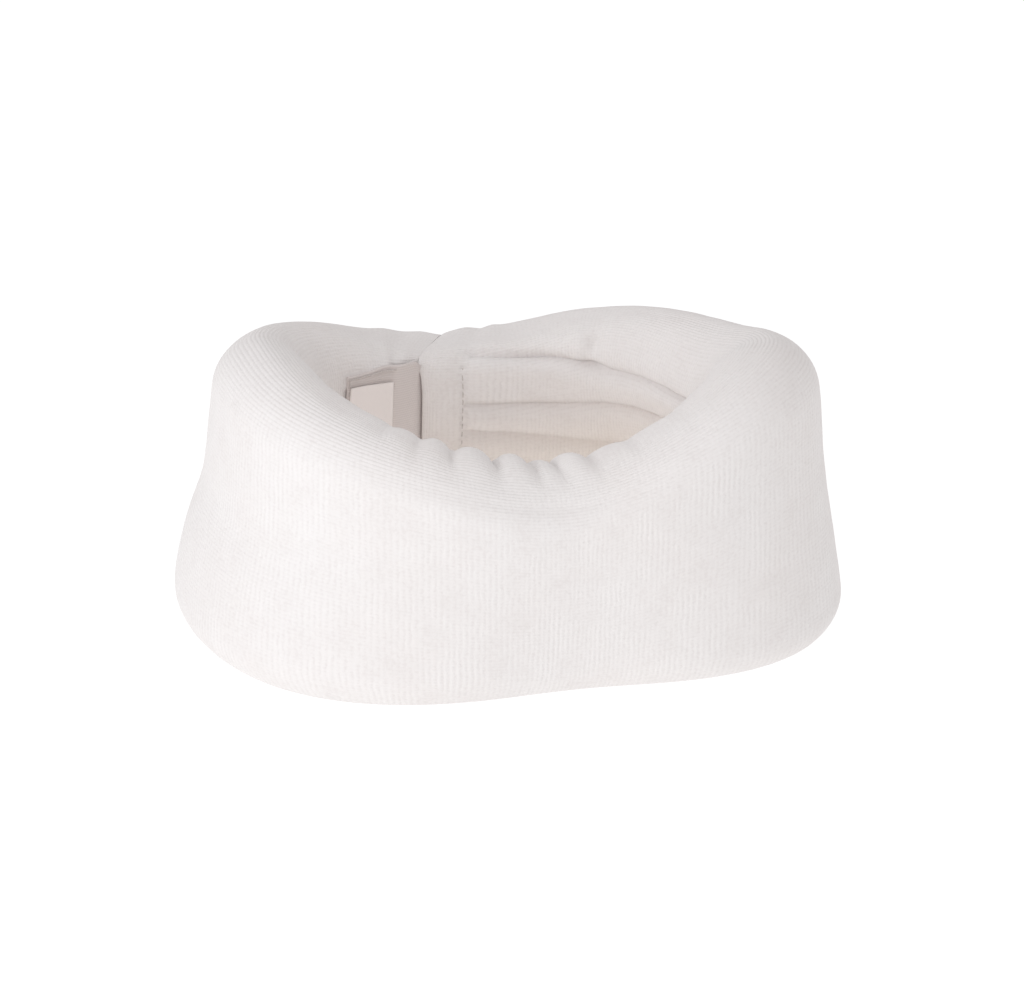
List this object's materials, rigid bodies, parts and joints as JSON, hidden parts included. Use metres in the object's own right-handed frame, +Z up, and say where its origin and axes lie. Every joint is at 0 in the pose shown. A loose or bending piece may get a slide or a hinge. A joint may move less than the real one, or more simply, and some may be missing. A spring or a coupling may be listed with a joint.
{
  "type": "cervical collar",
  "caption": "Soft foam neck collar in a ribbed knitted cover, with a chin recess in front and a hook-and-loop closure at the back that opens for fitting.",
  "frame": {"origin": "centre of the bounding box at the level the lower edge rests on", "axes": "+Z up, -Y towards the chin recess, +Y towards the closure, +X to the wearer's left"},
  "size_m": [0.1732, 0.141, 0.0805],
  "materials": {
    "foam": "open-cell polyurethane foam, matt",
    "cover": "white ribbed cotton stockinette, matt",
    "hook_tape": "woven nylon hook tape, slightly glossy hooks",
    "loop_patch": "brushed nylon loop pile",
    "label": "smooth white woven label, blank",
    "thread": "spun polyester sewing thread"
  },
  "bodies": {
    "front": {"foam_front": "foam", "cover_front": "cover"},
    "left_side": {"foam_left_side": "foam", "cover_left_side": "cover"},
    "left_rear": {"foam_left_rear": "foam", "cover_left_rear": "cover", "hook_tape": "hook_tape", "size_label": "label", "hook_tape_stitching": "thread", "left_hem_stitching": "thread"},
    "right_side": {"foam_right_side": "foam", "cover_right_side": "cover"},
    "right_rear": {"foam_right_rear": "foam", "cover_right_rear": "cover", "loop_patch": "loop_patch", "loop_patch_stitching": "thread", "right_hem_stitching": "thread"},
    "hook_tab": {"hook_tab": "hook_tape"}
  },
  "joints": [
    {"name": "left_side_bend", "type": "hinge", "parent": "front", "child": "left_side", "pos_m": [-0.05352, -0.06403, 0], "axis": [0, 0, 1], "range_deg": [0, 30], "stiffness_Nm_per_rad": 0.05},
    {"name": "left_rear_bend", "type": "hinge", "parent": "left_side", "child": "left_rear", "pos_m": [-0.08794, 0.00914, 0], "axis": [0, 0, 1], "range_deg": [0, 30], "stiffness_Nm_per_rad": 0.05},
    {"name": "right_side_bend", "type": "hinge", "parent": "front", "child": "right_side", "pos_m": [0.05944, -0.05077, 0], "axis": [0, 0, -1], "range_deg": [0, 30], "stiffness_Nm_per_rad": 0.05},
    {"name": "right_rear_bend", "type": "hinge", "parent": "right_side", "child": "right_rear", "pos_m": [0.0543, 0.05697, 0], "axis": [0, 0, -1], "range_deg": [0, 30], "stiffness_Nm_per_rad": 0.05},
    {"name": "tab_peel", "type": "hinge", "parent": "left_rear", "child": "hook_tab", "pos_m": [-0.01472, 0.05864, 0.03385], "axis": [0.0277, -0.1297, 0.9912], "range_deg": [0, 110], "stiffness_Nm_per_rad": 0.01}
  ],
  "couplings": [
    {"joint": "left_rear_bend", "follows": "left_side_bend", "ratio": 1},
    {"joint": "right_side_bend", "follows": "left_side_bend", "ratio": 1},
    {"joint": "right_rear_bend", "follows": "left_side_bend", "ratio": 1}
  ]
}
